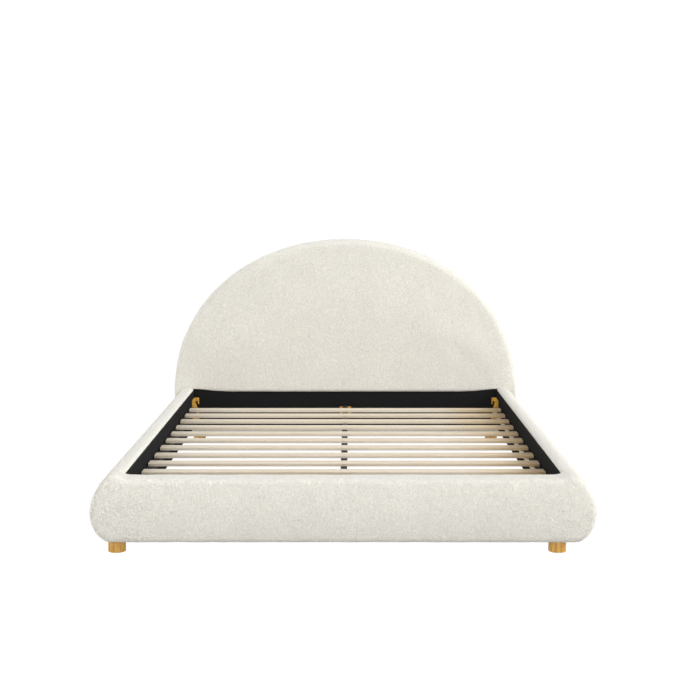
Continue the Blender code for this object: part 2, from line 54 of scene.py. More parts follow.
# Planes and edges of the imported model.
HEAD_LOW, HEAD_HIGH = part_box("headboard_cover")
FOOT_LOW, FOOT_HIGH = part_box("foot_rail_cover")
RAIL_LOW, RAIL_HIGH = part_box("side_rail_cover_right")
HEAD_LINING_LOW, HEAD_LINING_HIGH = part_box("head_lining")
ARCH_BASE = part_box("headboard_foam")[0].z
WELL_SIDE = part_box("side_rail_lining_right")[0].x
INNER_EDGE = 0.270
FABRIC_BOTTOM = HEAD_LOW.z
RAIL_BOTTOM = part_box("side_rail_lining_right")[0].z
CROWN_HEIGHT = RAIL_HIGH.z

# A side rail's section, measured outwards from the well's side.
RAIL_INNER = RAIL_LOW.x - WELL_SIDE
RAIL_DEPTH = RAIL_HIGH.x - WELL_SIDE
CROWN_OUT = 0.029
LOWER_CENTRE_OUT = 0.043
ROLL_EDGE_OUT = 0.024
WIDEST_HEIGHT = 0.146
ROLL_CENTRE = 0.268
UPPER_FULLNESS = 1.72
LOWER_FULLNESS = 1.89
ARCH_FULLNESS = 2.05
HEAD_CORNER_RADIUS = 0.008
RAIL_EDGE_RADIUS = 0.003
FOOT_SHOULDER = 0.052

# Padding.
OUTLINE_STEP = 0.010
MESH_STEP = 0.0045
SIM_STEP = 0.016
SIM_FRAMES = 20
SIM_PRESSURE = 4.0
HEAD_RIM_RADIUS = 0.034
HEAD_LOW_RIM_RADIUS = 0.006
HEAD_BACK_RADIUS = 0.007
HEAD_SWELL = 0.006
HEAD_LIP = 0.018
HEAD_SAG = 0.0120
HEAD_CORNER_LIFT = 0.0040
HEAD_HEM = 0.030
FOOT_RIM_RADIUS = 0.019
FOOT_BACK_RADIUS = 0.006
FOOT_SWELL = 0.004
FOOT_DOME = 0.009
RAIL_END_RADIUS = 0.006
RAIL_SWELL = 0.003
CURL_SIZE = 0.0085
CURL_HEIGHT = 0.0011
LUMP_SIZE = 0.060
LUMP_HEIGHT = 0.0022

# Cloth, wood and fasteners.
LINING_THICKNESS = 0.0012
TAPE_THICKNESS = 0.0013
STAPLE_PITCH = 0.055
STAPLE_CROWN = 0.0095
STAPLE_WIRE = 0.0008
SLAT_EDGE = 0.0012
SLAT_CORNER = 0.0022
LEG_EDGE = 0.0022
STEM_RADIUS = 0.004
STEM_PITCH = 0.00125
THREAD_DEPTH = 0.0006

# Camera and light.
CAMERA_PLACE = (0.024, -5.538, 1.2355)
CAMERA_TILT = 83.37
CAMERA_LENS = 66.86
KEY_FROM = (0.84, -0.16, 0.52)
KEY_SPREAD = 24
KEY_STRENGTH = 2.0
SKY_STRENGTH = 0.57
HORIZON_STRENGTH = 2.87
HORIZON_SIDES = 0.5
HORIZON_LEAN = 0.6
ZENITH_TONE = (1.02, 1.06, 1.11)
FLOOR_STRENGTH = 0.49
SEEN_WHITE = 1.05

BODY = "bed"
SIDES = {"left": -1, "right": 1}


# ---------------------------------------------------------------- making meshes


def add_mesh(name, points, faces, material):
    mesh = bpy.data.meshes.new(name)
    mesh.from_pydata([tuple(p) for p in points], [], faces)
    shape = bmesh.new()
    shape.from_mesh(mesh)
    bmesh.ops.recalc_face_normals(shape, faces=shape.faces)
    shape.to_mesh(mesh)
    shape.free()
    mesh.shade_smooth()
    mesh.materials.append(material)
    obj = bpy.data.objects.new(name, mesh)
    bpy.context.scene.collection.objects.link(obj)
    return obj


def loft(name, loops, material):
    """Joins closed loops, each with as many points as the next, and caps both ends."""
    loops = np.asarray(loops, float)
    rows, count = loops.shape[:2]
    faces = []
    for i in range(rows - 1):
        for j in range(count):
            k = (j + 1) % count
            faces.append((i * count + j, i * count + k, (i + 1) * count + k, (i + 1) * count + j))
    faces.append(tuple(reversed(range(count))))
    faces.append(tuple(range((rows - 1) * count, rows * count)))
    return add_mesh(name, loops.reshape(-1, 3), faces, material)


def grid(name, points, material):
    """A sheet of quads over a rows-by-columns array of points."""
    points = np.asarray(points, float)
    rows, columns = points.shape[:2]
    faces = []
    for i in range(rows - 1):
        for j in range(columns - 1):
            a = i * columns + j
            faces.append((a, a + 1, a + columns + 1, a + columns))
    return add_mesh(name, points.reshape(-1, 3), faces, material)


def copies(name, template, places, material):
    """One mesh that holds a copy of the template at each place, given as a matrix."""
    shape = bmesh.new()
    for place in places:
        piece = template.data.copy()
        piece.transform(place)
        shape.from_mesh(piece)
        bpy.data.meshes.remove(piece)
    mesh = bpy.data.meshes.new(name)
    shape.to_mesh(mesh)
    shape.free()
    mesh.materials.clear()
    mesh.materials.append(material)
    obj = bpy.data.objects.new(name, mesh)
    bpy.context.scene.collection.objects.link(obj)
    bpy.data.objects.remove(template)
    return obj


def coordinates(obj):
    points = np.empty(len(obj.data.vertices) * 3, np.float32)
    obj.data.vertices.foreach_get("co", points)
    return points.reshape(-1, 3).astype(float)


def set_coordinates(obj, points):
    obj.data.vertices.foreach_set("co", points.astype(np.float32).ravel())
    obj.data.update()


def applied(obj):
    """Makes what the modifiers give the object's own mesh."""
    graph = bpy.context.evaluated_depsgraph_get()
    mesh = bpy.data.meshes.new_from_object(obj.evaluated_get(graph))
    obj.modifiers.clear()
    obj.data = mesh
    return obj


def bevelled(obj, width):
    """Rounds the edges of a carried-over node by modifiers."""
    weld = obj.modifiers.new("weld", "WELD")
    weld.merge_threshold = 0.00002
    bevel = obj.modifiers.new("bevel", "BEVEL")
    bevel.width = width
    bevel.segments = 2
    bevel.limit_method = "ANGLE"
    bevel.angle_limit = math.radians(35)
    bevel.harden_normals = True
    return obj


def thickened(sheet, thickness):
    """Gives a sheet its thickness, half to each side."""
    solid = sheet.modifiers.new("thickness", "SOLIDIFY")
    solid.thickness = thickness
    solid.offset = 0.0
    return applied(sheet)


def smooth_by_angle(obj, degrees):
    obj.data.set_sharp_from_angle(angle=math.radians(degrees))
    return obj


# ---------------------------------------------------------------- outlines


def arc(centre, radii, start, end, steps, fullness=2.0):
    """Points of an arc between two angles in degrees, both ends included.

    A fullness of 2 is an ellipse, less is flatter between its ends, and more is squarer.
    """
    angles = np.radians(np.linspace(start, end, steps + 1))
    across, up = np.cos(angles), np.sin(angles)
    u = centre[0] + radii[0] * np.sign(across) * np.abs(across) ** (2.0 / fullness)
    v = centre[1] + radii[1] * np.sign(up) * np.abs(up) ** (2.0 / fullness)
    return list(zip(u, v))


def evenly_spaced(outline, spacing):
    """The same closed outline, with its points about that far apart."""
    outline = np.asarray(outline, float)
    ring = np.vstack([outline, outline[:1]])
    along = np.concatenate([[0.0], np.cumsum(np.linalg.norm(np.diff(ring, axis=0), axis=1))])
    count = max(8, round(along[-1] / spacing))
    at = np.linspace(0.0, along[-1], count, endpoint=False)
    return np.stack([np.interp(at, along, ring[:, 0]), np.interp(at, along, ring[:, 1])], axis=1)


def inset(outline, amounts):
    """Moves each point of a counter-clockwise outline inwards."""
    tangent = np.roll(outline, -1, axis=0) - np.roll(outline, 1, axis=0)
    tangent /= np.linalg.norm(tangent, axis=1)[:, None]
    outward = np.stack([tangent[:, 1], -tangent[:, 0]], axis=1)
    return outline - outward * np.reshape(amounts, (-1, 1))


def bolster_outside():
    """(out, height) from under the bolster, round its outside, up to its crown."""
    lower_radii = (RAIL_DEPTH - LOWER_CENTRE_OUT, WIDEST_HEIGHT - FABRIC_BOTTOM)
    upper_radii = (RAIL_DEPTH - CROWN_OUT, CROWN_HEIGHT - WIDEST_HEIGHT)
    lower = arc((LOWER_CENTRE_OUT, WIDEST_HEIGHT), lower_radii, -90, 0, 40, LOWER_FULLNESS)
    upper = arc((CROWN_OUT, WIDEST_HEIGHT), upper_radii, 0, 90, 40, UPPER_FULLNESS)
    return lower + upper[1:]


def rail_section():
    """A side rail's whole section, counter-clockwise."""
    corner = (RAIL_INNER + RAIL_EDGE_RADIUS, RAIL_BOTTOM + RAIL_EDGE_RADIUS)
    bottom = arc(corner, (RAIL_EDGE_RADIUS, RAIL_EDGE_RADIUS), 180, 270, 4)
    drop_radii = (LOWER_CENTRE_OUT - ROLL_EDGE_OUT, RAIL_BOTTOM - FABRIC_BOTTOM)
    drop = arc((LOWER_CENTRE_OUT, RAIL_BOTTOM), drop_radii, 180, 270, 12)[:-1]
    roll_radii = (CROWN_OUT - RAIL_INNER, CROWN_HEIGHT - ROLL_CENTRE)
    roll = arc((CROWN_OUT, ROLL_CENTRE), roll_radii, 90, 180, 12)[1:]
    return bottom + drop + bolster_outside() + roll


def foot_outline():
    """The foot panel from the front: a pill whose ends have the rails' section."""
    half = [(WELL_SIDE + out, height) for out, height in bolster_outside()]
    rise = CROWN_HEIGHT - INNER_EDGE
    for part in np.linspace(0.0, 1.0, 9)[1:]:
        height = INNER_EDGE + rise * (0.5 + 0.5 * math.cos(math.pi * part))
        half.append((WELL_SIDE + CROWN_OUT - FOOT_SHOULDER * part, height))
    return half + [(-x, z) for x, z in reversed(half)]


def headboard_outline(margin=0.0):
    """The headboard from the front, down to the fabric's bottom edge."""
    half_width = HEAD_HIGH.x - margin
    rise = HEAD_HIGH.z - ARCH_BASE - margin
    radius = HEAD_CORNER_RADIUS
    corner_x, corner_z = half_width - radius, FABRIC_BOTTOM + margin + radius
    right = arc((corner_x, corner_z), (radius, radius), -90, 0, 5)
    arch = arc((0.0, ARCH_BASE), (half_width, rise), 0, 180, 200, ARCH_FULLNESS)
    left = arc((-corner_x, corner_z), (radius, radius), 180, 270, 5)
    return right + arch + left


def rounded_rectangle(half_x, half_y, radius):
    outline = []
    for sign_x, sign_y, start in ((1, 1, 0), (-1, 1, 90), (-1, -1, 180), (1, -1, 270)):
        centre = (sign_x * (half_x - radius), sign_y * (half_y - radius))
        outline += arc(centre, (radius, radius), start, start + 90, 6)
    return np.array(outline)


def smoothstep(low, high, value):
    part = np.clip((value - low) / (high - low), 0.0, 1.0)
    return part * part * (3.0 - 2.0 * part)


# ---------------------------------------------------------------- nodes of a material


def node(tree, kind, inputs=None, **settings):
    """Adds a shader node, with its settings, and its inputs as values or links."""
    made = tree.nodes.new(kind)
    for key, value in settings.items():
        setattr(made, key, value)
    for key, value in (inputs or {}).items():
        if isinstance(value, bpy.types.NodeSocket):
            tree.links.new(value, made.inputs[key])
        else:
            made.inputs[key].default_value = value
    return made


def new_material(name, **constants):
    """A material with one Principled BSDF, whose constants are set on its own sockets."""
    material = bpy.data.materials.new(name)
    material.use_nodes = True
    tree = material.node_tree
    shader = tree.nodes["Principled BSDF"]
    for key, value in constants.items():
        shader.inputs[key.replace("_", " ")].default_value = value
    return material, tree, shader


def place(tree, scale=(1.0, 1.0, 1.0)):
    """Object coordinates in metres, stretched by a scale."""
    where = node(tree, "ShaderNodeTexCoord").outputs["Object"]
    return node(tree, "ShaderNodeMapping", {"Vector": where, "Scale": scale}).outputs["Vector"]


def noise_of(tree, where, scale, detail, roughness=0.5, distortion=0.0):
    made = node(tree, "ShaderNodeTexNoise", {"Vector": where, "Scale": scale, "Detail": detail,
                                             "Roughness": roughness, "Distortion": distortion})
    return made.outputs["Fac"]


def maths(tree, operation, a, b=0.0):
    made = node(tree, "ShaderNodeMath", operation=operation)
    for socket, value in zip(made.inputs, (a, b)):
        if isinstance(value, bpy.types.NodeSocket):
            tree.links.new(value, socket)
        else:
            socket.default_value = value
    return made.outputs["Value"]


def mixed(tree, share, first, second, blend="MIX"):
    made = node(tree, "ShaderNodeMix", data_type="RGBA", blend_type=blend)
    for key, value in (("Factor", share), ("A", first), ("B", second)):
        socket = next(s for s in made.inputs if s.name == key and s.enabled)
        if isinstance(value, bpy.types.NodeSocket):
            tree.links.new(value, socket)
        elif key == "Factor":
            socket.default_value = value
        else:
            socket.default_value = (*value, 1.0)
    return next(s for s in made.outputs if s.enabled)


def ramp(tree, value, stops):
    """A colour ramp through (position, colour) stops."""
    made = node(tree, "ShaderNodeValToRGB", {"Fac": value})
    elements = made.color_ramp.elements
    while len(elements) < len(stops):
        elements.new(0.5)
    for element, (position, colour) in zip(elements, stops):
        element.position = position
        element.color = (*colour, 1.0)
    return made.outputs["Color"]


def grey(value):
    return (value, value, value)


def bump(tree, shader, height, distance, strength):
    inputs = {"Height": height, "Distance": distance, "Strength": strength}
    raised = node(tree, "ShaderNodeBump", inputs).outputs["Normal"]
    tree.links.new(raised, shader.inputs["Normal"])


# ---------------------------------------------------------------- materials


def boucle():
    """Cream looped yarn: curls of 4 to 6 mm, wound tight, over a knitted ground, with painted shade in the
    hollows between the curls.
    """
    material, tree, shader = new_material("boucle_cover", Roughness=0.95, Sheen_Weight=0.18,
                                          Sheen_Roughness=0.45, Sheen_Tint=(1.0, 1.0, 1.0, 1.0),
                                          Specular_IOR_Level=0.15)
    where = place(tree, (1.0, 1.0, 0.62))
    drift = node(tree, "ShaderNodeTexNoise", {"Vector": where, "Scale": 75.0, "Detail": 1.0})
    moved = node(tree, "ShaderNodeVectorMath", {0: drift.outputs["Color"], 1: (0.5, 0.5, 0.5)},
                 operation="SUBTRACT")
    moved = node(tree, "ShaderNodeVectorMath", {0: moved.outputs[0], "Scale": 0.013}, operation="SCALE")
    warped = node(tree, "ShaderNodeVectorMath", {0: where, 1: moved.outputs[0]}, operation="ADD").outputs[0]

    cells = node(tree, "ShaderNodeTexVoronoi", {"Vector": warped, "Scale": 205.0},
                 feature="SMOOTH_F1").outputs["Distance"]
    rings = maths(tree, "SINE", maths(tree, "MULTIPLY", cells, 13.0))
    tufts = maths(tree, "SUBTRACT", 1.0, cells)
    yarn = noise_of(tree, warped, 620.0, detail=3.0)
    height = maths(tree, "ADD", maths(tree, "MULTIPLY", rings, 0.22), tufts)
    height = maths(tree, "ADD", height, maths(tree, "MULTIPLY", yarn, 0.35))
    bump(tree, shader, height, distance=0.0032, strength=0.85)

    # Painted shade: the lower the pile, the darker its colour, as shade in the hollows between curls.
    depth = ramp(tree, height, [(0.55, grey(0.0)), (1.15, grey(1.0))])
    ground = mixed(tree, depth, (0.715, 0.685, 0.608), (0.940, 0.918, 0.852))
    strand = noise_of(tree, warped, 150.0, detail=2.0)
    warm = ramp(tree, strand, [(0.56, grey(0.0)), (0.70, grey(1.0))])
    speckled = mixed(tree, warm, ground, (0.89, 0.84, 0.73))
    wales = noise_of(tree, place(tree, (1.0, 1.0, 0.24)), 310.0, detail=2.0, distortion=0.8)
    streaks = ramp(tree, wales, [(0.36, grey(0.915)), (0.62, grey(1.0))])
    streaked = mixed(tree, 1.0, speckled, streaks, "MULTIPLY")
    patches = ramp(tree, noise_of(tree, where, 7.0, detail=3.0), [(0.3, grey(0.965)), (0.7, grey(1.0))])
    tree.links.new(mixed(tree, 1.0, streaked, patches, "MULTIPLY"), shader.inputs["Base Color"])
    return material


def black_cloth(name, dimples):
    """Thin black non-woven cloth, with its pressed dimples and a little grey lint."""
    material, tree, shader = new_material(name, Roughness=0.95, Specular_IOR_Level=0.04)
    where = place(tree)
    pressed = node(tree, "ShaderNodeTexVoronoi", {"Vector": where, "Scale": dimples, "Randomness": 0.15})
    fibres = noise_of(tree, where, 900.0, detail=3.0)
    height = maths(tree, "ADD", pressed.outputs["Distance"], maths(tree, "MULTIPLY", fibres, 0.5))
    bump(tree, shader, height, distance=0.0007, strength=0.6)
    colour = ramp(tree, fibres, [(0.35, grey(0.011)), (0.62, grey(0.018)), (0.80, grey(0.041))])
    tree.links.new(colour, shader.inputs["Base Color"])
    return material


def wood(name, along, pale, dark, deep, roughness, coat=0.0, figure=1.0, layers=0.0, painted_shadow_tone=None):
    """Wood whose grain runs along an axis. Layers adds a plywood edge's plies, stacked in Z.

    A painted shadow tone darkens and warms boards that run across the bed towards their right ends. It is
    painted shade that stands in for the shadow the right rail casts there.
    """
    material, tree, shader = new_material(name, Coat_Weight=coat, Coat_Roughness=0.25,
                                          Specular_IOR_Level=0.35)
    stretch = {"X": (0.035, 1.0, 1.0), "Y": (1.0, 0.035, 1.0), "Z": (1.0, 1.0, 0.05)}[along]
    where = place(tree, stretch)
    bands = noise_of(tree, where, 46.0 * figure, detail=4.0, roughness=0.55, distortion=0.6)
    colour = ramp(tree, bands, [(0.30, deep), (0.46, dark), (0.62, pale)])
    pores = noise_of(tree, where, 620.0, detail=3.0, roughness=0.7)
    pore_shade = ramp(tree, pores, [(0.34, grey(0.80)), (0.52, grey(1.0))])
    colour = mixed(tree, 0.8, colour, pore_shade, "MULTIPLY")
    if layers:
        across = place(tree, (0.4, 0.4, 1.0))
        layered = noise_of(tree, across, layers, detail=1.0)
        plies = ramp(tree, layered, [(0.42, grey(0.84)), (0.58, grey(1.0))])
        colour = mixed(tree, 0.55, colour, plies, "MULTIPLY")
    # Painted shadow: the right rail's shade on the slats' right ends, put into the colour.
    if painted_shadow_tone:
        x = node(tree, "ShaderNodeSeparateXYZ", {"Vector": place(tree)}).outputs["X"]
        painted_shadow = ramp(tree, x, [(0.44, grey(1.0)), (0.72, painted_shadow_tone)])
        colour = mixed(tree, 1.0, colour, painted_shadow, "MULTIPLY")
    tree.links.new(colour, shader.inputs["Base Color"])
    worn = ramp(tree, pores, [(0.3, grey(min(1.0, roughness + 0.15))), (0.7, grey(roughness))])
    tree.links.new(worn, shader.inputs["Roughness"])
    bump(tree, shader, pores, distance=0.0004, strength=0.35)
    return material


def plated_steel(name, colour, shadow, roughness, metallic=1.0):
    """Plated sheet steel: cloudy plating and drawn lines."""
    material, tree, shader = new_material(name, Metallic=metallic)
    clouds = noise_of(tree, place(tree), 60.0, detail=4.0)
    tree.links.new(ramp(tree, clouds, [(0.35, shadow), (0.62, colour)]), shader.inputs["Base Color"])
    drawn = noise_of(tree, place(tree, (1.0, 1.0, 0.05)), 900.0, detail=2.0)
    dull = ramp(tree, drawn, [(0.3, grey(roughness)), (0.75, grey(roughness + 0.16))])
    tree.links.new(dull, shader.inputs["Roughness"])
    bump(tree, shader, drawn, distance=0.0002, strength=0.25)
    return material


def webbing():
    """Cream woven tape, with its weft ribs across."""
    material, tree, shader = new_material("slat_webbing", Roughness=0.9, Sheen_Weight=0.2)
    ribs = node(tree, "ShaderNodeTexWave", {"Vector": place(tree), "Scale": 95.0, "Distortion": 0.6},
                bands_direction="Y")
    ends = node(tree, "ShaderNodeTexWave", {"Vector": place(tree), "Scale": 160.0, "Distortion": 0.4},
                bands_direction="X")
    weave = maths(tree, "MULTIPLY", ribs.outputs["Fac"], ends.outputs["Fac"])
    tree.links.new(mixed(tree, weave, (0.70, 0.60, 0.43), (0.93, 0.84, 0.64)), shader.inputs["Base Color"])
    bump(tree, shader, weave, distance=0.0006, strength=0.8)
    return material


def moulded_plastic(name, colour):
    material, tree, shader = new_material(name, Roughness=0.45)
    grain = noise_of(tree, place(tree), 1500.0, detail=2.0)
    tree.links.new(mixed(tree, grain, colour, tuple(1.5 * c for c in colour)), shader.inputs["Base Color"])
    bump(tree, shader, grain, distance=0.0001, strength=0.4)
    return material


BOUCLE = boucle()
LINING = black_cloth("black_lining", 700.0)
BACK_CLOTH = black_cloth("black_dust_cloth", 420.0)
# The slats' right ends carry a painted shadow: the warm shade that the right rail casts on them.
SLAT_WOOD = wood("slat_birch", "X", (0.82, 0.72, 0.58), (0.79, 0.68, 0.53), (0.73, 0.615, 0.455),
                 roughness=0.55, figure=0.8, layers=1500.0, painted_shadow_tone=(0.84, 0.70, 0.51))
LEG_WOOD = wood("leg_oak", "Z", (0.73, 0.435, 0.11), (0.58, 0.305, 0.055), (0.36, 0.15, 0.025),
                roughness=0.45, coat=0.12, figure=2.4)
PLYWOOD = wood("plywood", "X", (0.66, 0.50, 0.32), (0.60, 0.44, 0.26), (0.50, 0.34, 0.18),
               roughness=0.7, layers=900.0)
PINE = wood("pine", "X", (0.74, 0.54, 0.32), (0.66, 0.45, 0.23), (0.50, 0.28, 0.11), roughness=0.65)
BLACK_WOOD = wood("black_stained_wood", "Y", grey(0.016), grey(0.011), grey(0.006), roughness=0.55)
GOLD_ZINC = plated_steel("yellow_zinc", (0.80, 0.50, 0.09), (0.58, 0.31, 0.04), 0.36, metallic=0.5)
DARK_STEEL = plated_steel("dark_steel", grey(0.10), grey(0.05), 0.35)
BRIGHT_STEEL = plated_steel("bright_steel", grey(0.62), grey(0.42), 0.28)
WEBBING = webbing()
BLACK_PLASTIC = moulded_plastic("black_plastic", (0.02, 0.02, 0.021))


# ---------------------------------------------------------------- padding


def remeshed(obj, step):
    """A copy of a closed shape, remeshed into even quads."""
    copy = obj.copy()
    copy.data = obj.data.copy()
    bpy.context.scene.collection.objects.link(copy)
    remesh = copy.modifiers.new("remesh", "REMESH")
    remesh.mode = "VOXEL"
    remesh.voxel_size = step
    remesh.use_smooth_shade = True
    return applied(copy)


def swelling(base, pinned, most):
    """Where padding pushes a pinned cover: points at rest, and how far each one moves.

    A coarse copy is blown up a little by cloth simulation. Its movement is scaled so that the
    fullest part moves by most.
    """
    cloth_piece = remeshed(base, SIM_STEP)
    rest = coordinates(cloth_piece)
    group = cloth_piece.vertex_groups.new(name="pinned")
    group.add([int(i) for i in np.flatnonzero(pinned(rest))], 1.0, "REPLACE")
    cloth = cloth_piece.modifiers.new("cloth", "CLOTH")
    settings = cloth.settings
    settings.use_pressure = True
    settings.uniform_pressure_force = SIM_PRESSURE
    settings.vertex_group_mass = group.name
    settings.effector_weights.gravity = 0.0
    settings.quality = 4
    cloth.point_cache.frame_start = 1
    cloth.point_cache.frame_end = SIM_FRAMES
    scene = bpy.context.scene
    for step in range(1, SIM_FRAMES + 1):
        scene.frame_set(step)
    applied(cloth_piece)
    moved = coordinates(cloth_piece) - rest
    scene.frame_set(1)
    bpy.data.objects.remove(cloth_piece)
    full = np.percentile(np.linalg.norm(moved, axis=1), 97)
    return rest, moved * (most / max(full, 1e-6))


def push(points, rest, moved, most):
    """Adds the swelling to finer points, from the four nearest of its own."""
    tree = kdtree.KDTree(len(rest))
    for i, point in enumerate(rest):
        tree.insert(point, i)
    tree.balance()
    offsets = np.zeros_like(points)
    for i, point in enumerate(points):
        near = tree.find_n(point, 4)
        weights = np.array([1.0 / (distance + 0.004) for _, _, distance in near])
        offsets[i] = weights @ moved[[index for _, index, _ in near]] / weights.sum()
    length = np.linalg.norm(offsets, axis=1)
    return points + offsets * np.minimum(1.0, most / np.maximum(length, 1e-9))[:, None]


def padded_piece(name, base, pinned, swell, shaped=None, keep=None):
    """A padded cover from a closed base shape: even quads, swollen, shaped, with looped pile."""
    piece = remeshed(base, MESH_STEP)
    piece.name = name
    smooth = piece.modifiers.new("smooth", "SMOOTH")
    smooth.factor = 0.5
    smooth.iterations = 4
    applied(piece)
    if shaped:
        set_coordinates(piece, shaped(coordinates(piece)))
    rest, moved = swelling(base, pinned, swell)
    set_coordinates(piece, push(coordinates(piece), rest, moved, 1.3 * swell))
    bpy.data.objects.remove(base)
    if keep:
        remove_faces(piece, keep)
    add_pile(piece)
    piece.data.materials.clear()
    piece.data.materials.append(BOUCLE)
    return piece


def remove_faces(piece, keep):
    """Deletes the faces that keep turns down, given the centres of all."""
    shape = bmesh.new()
    shape.from_mesh(piece.data)
    centres = np.array([face.calc_center_median() for face in shape.faces])
    kept = keep(centres)
    hidden = [face for face, stays in zip(shape.faces, kept) if not stays]
    bmesh.ops.delete(shape, geom=hidden, context="FACES")
    shape.to_mesh(piece.data)
    shape.free()


def add_pile(piece):
    """Raises the curls and the slight unevenness of the padding under them."""
    for label, kind, size, height in (("lumps", "CLOUDS", LUMP_SIZE, LUMP_HEIGHT),
                                      ("curls", "VORONOI", CURL_SIZE, CURL_HEIGHT)):
        texture = bpy.data.textures.get(label) or bpy.data.textures.new(label, kind)
        texture.noise_scale = size
        displace = piece.modifiers.new(label, "DISPLACE")
        displace.texture = texture
        displace.strength = height
        displace.mid_level = 0.5
    applied(piece)
    piece.data.shade_smooth()


def inward_from_arch(points):
    """How far each point is inside the headboard's outline, seen from the front."""
    x, z = points[:, 0], np.maximum(points[:, 2] - ARCH_BASE, 0.0)
    half_width, rise = HEAD_HIGH.x, HEAD_HIGH.z - ARCH_BASE
    reach = np.sqrt((x / half_width) ** 2 + (z / rise) ** 2)
    slope = np.sqrt((x / half_width**2) ** 2 + (z / rise**2) ** 2) / np.maximum(reach, 1e-6)
    return (1.0 - reach) / np.maximum(slope, 1.0)


def rounded_rim(outline, radii, face, into, angles):
    """Loops of a front outline round the edge of a face at some Y, which the solid goes into."""
    loops = []
    for angle in np.radians(angles):
        flat = inset(outline, radii * (1.0 - math.cos(angle)))
        depth = np.full(len(flat), face) + into * radii * (1.0 - math.sin(angle))
        loops.append(np.column_stack([flat[:, 0], depth, flat[:, 1]]))
    return loops


def headboard_base():
    """The headboard's closed shape: a round front rim that tightens where the rails meet it."""
    outline = evenly_spaced(headboard_outline(), OUTLINE_STEP)
    low, high = HEAD_LOW_RIM_RADIUS, HEAD_RIM_RADIUS
    radii = low + (high - low) * smoothstep(CROWN_HEIGHT - 0.005, CROWN_HEIGHT + 0.075, outline[:, 1])
    loops = rounded_rim(outline, radii, HEAD_LOW.y, 1, np.linspace(90, 0, 9))
    loops += rounded_rim(outline, HEAD_BACK_RADIUS, HEAD_HIGH.y, -1, np.linspace(0, 90, 5))
    return loft("headboard_base", loops, BOUCLE)


def shape_headboard(points):
    """Swells the lower edge over the lining, and sinks the part behind the lining."""
    x, y, z = points.T
    front = smoothstep(HEAD_LOW.y + 0.050, HEAD_LOW.y + 0.004, y)
    behind = (np.abs(x) < WELL_SIDE + 0.009) & (z < ARCH_BASE - 0.004) & (front > 0.5)
    behind &= z > HEAD_LINING_LOW.z + 0.003
    between_rails = smoothstep(WELL_SIDE + 0.012, WELL_SIDE - 0.300, np.abs(x))
    over_rails = smoothstep(CROWN_HEIGHT - 0.02, CROWN_HEIGHT + 0.30, z)
    width = np.maximum(between_rails, over_rails)
    rolled = np.clip((z - (ARCH_BASE - 0.006)) / 0.022, 0.0, 1.0)
    lip = np.sqrt(np.maximum(0.0, 1.0 - (1.0 - rolled) ** 2))
    fade_reach = 0.16 + 0.20 * smoothstep(0.38, 0.70, z)
    fade = smoothstep(0.0, 1.0, inward_from_arch(points) / fade_reach)
    forward = HEAD_LIP * width * lip * fade * front
    sag = HEAD_SAG * smoothstep(WELL_SIDE + 0.020, WELL_SIDE - 0.190, np.abs(x)) - HEAD_CORNER_LIFT
    inside = smoothstep(WELL_SIDE + 0.020, WELL_SIDE, np.abs(x))
    droop = sag * inside * front * smoothstep(0.035, 0.0, np.abs(z - ARCH_BASE))
    moved = np.column_stack([x, y - forward, z - droop * (z > ARCH_BASE - 0.006)])
    moved[behind, 1] = HEAD_LINING_HIGH.y + 0.0012
    return moved


def make_headboard_pad():
    def pinned(points):
        low_front = points[:, 2] < ARCH_BASE + 0.012
        return (points[:, 1] > HEAD_HIGH.y - 0.030) | low_front

    def keep(centres):
        back = centres[:, 1] > HEAD_HIGH.y - 0.002
        near_arch = inward_from_arch(centres) < HEAD_HEM
        near_bottom = centres[:, 2] < FABRIC_BOTTOM + HEAD_HEM
        return ~back | near_arch | near_bottom

    pad = padded_piece("headboard_pad", headboard_base(), pinned, HEAD_SWELL, shape_headboard, keep)
    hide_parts("headboard_cover", "headboard_foam")
    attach(pad, BODY)


def make_foot_pad():
    outline = evenly_spaced(foot_outline(), OUTLINE_STEP)
    loops = rounded_rim(outline, FOOT_RIM_RADIUS, FOOT_LOW.y, 1, np.linspace(90, 0, 8))
    loops += rounded_rim(outline, FOOT_BACK_RADIUS, FOOT_HIGH.y, -1, np.linspace(0, 90, 5))
    base = loft("foot_base", loops, BOUCLE)
    back = FOOT_HIGH.y - 0.020
    middle, half_height = (CROWN_HEIGHT + FABRIC_BOTTOM) / 2, (CROWN_HEIGHT - FABRIC_BOTTOM) / 2

    def domed(points):
        """Rounds the front a little from top to bottom, and sinks the back behind the lining."""
        front = smoothstep(FOOT_LOW.y + 0.060, FOOT_LOW.y + 0.010, points[:, 1])
        points[:, 1] += FOOT_DOME * front * ((points[:, 2] - middle) / half_height) ** 2
        flush = (np.abs(points[:, 0]) < WELL_SIDE) & (points[:, 1] > FOOT_HIGH.y - 0.0012)
        points[flush, 1] = FOOT_HIGH.y - 0.0012
        return points

    pad = padded_piece("foot_rail_pad", base, lambda p: p[:, 1] > back, FOOT_SWELL, domed)
    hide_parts("foot_rail_cover", "foot_rail_foam")
    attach(pad, BODY)


def make_rail_pad(name, side):
    section = evenly_spaced(rail_section(), 0.008)
    low, high = RAIL_LOW.y, RAIL_HIGH.y
    stations = [(low + RAIL_END_RADIUS * (1 - math.sin(a)), RAIL_END_RADIUS * (1 - math.cos(a)))
                for a in np.radians(np.linspace(90, 0, 4))]
    stations += [(high - (y - low), amount) for y, amount in reversed(stations)]
    loops = []
    for y, amount in stations:
        flat = inset(section, amount)
        loops.append(np.column_stack([side * (WELL_SIDE + flat[:, 0]), np.full(len(flat), y), flat[:, 1]]))
    base = loft(f"rail_base_{name}", loops, BOUCLE)

    def pinned(points):
        out = side * points[:, 0] - WELL_SIDE
        ends = np.minimum(points[:, 1] - low, high - points[:, 1])
        return (out < 0.014) | (points[:, 2] < FABRIC_BOTTOM + 0.006) | (ends < 0.014)

    pad = padded_piece(f"side_rail_pad_{name}", base, pinned, RAIL_SWELL)
    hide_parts(f"side_rail_cover_{name}", f"side_rail_foam_{name}")
    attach(pad, BODY)


# ---------------------------------------------------------------- linings and back cloth


